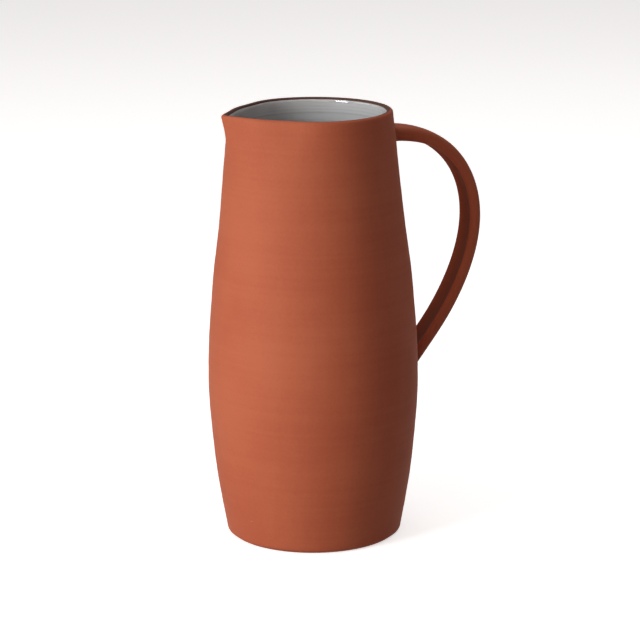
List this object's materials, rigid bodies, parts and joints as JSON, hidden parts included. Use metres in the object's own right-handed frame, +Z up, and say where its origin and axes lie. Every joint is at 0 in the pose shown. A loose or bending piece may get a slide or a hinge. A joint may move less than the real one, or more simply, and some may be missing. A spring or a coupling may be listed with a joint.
{
  "type": "ceramic pitcher",
  "caption": "Tall thrown terracotta pitcher with a gently swelling body, a drawn pouring spout, a pulled strap handle and a pale grey glazed inside.",
  "frame": {"origin": "middle of the foot, on the plane the pitcher stands on", "axes": "+Z up along the body's axis, +X towards the handle, spout at -X; the XZ plane is the mirror plane"},
  "size_m": [0.1682, 0.1248, 0.255],
  "materials": {
    "terracotta": "unglazed matte, fine throwing lines",
    "luting_clay": "unglazed matte, smoothed by hand",
    "interior_glaze": "glossy pale grey glaze with faint rings"
  },
  "bodies": {
    "root": {"body": "terracotta", "interior_glaze": "interior_glaze", "handle": "terracotta", "upper_handle_luting": "luting_clay", "lower_handle_luting": "luting_clay"}
  },
  "joints": []
}
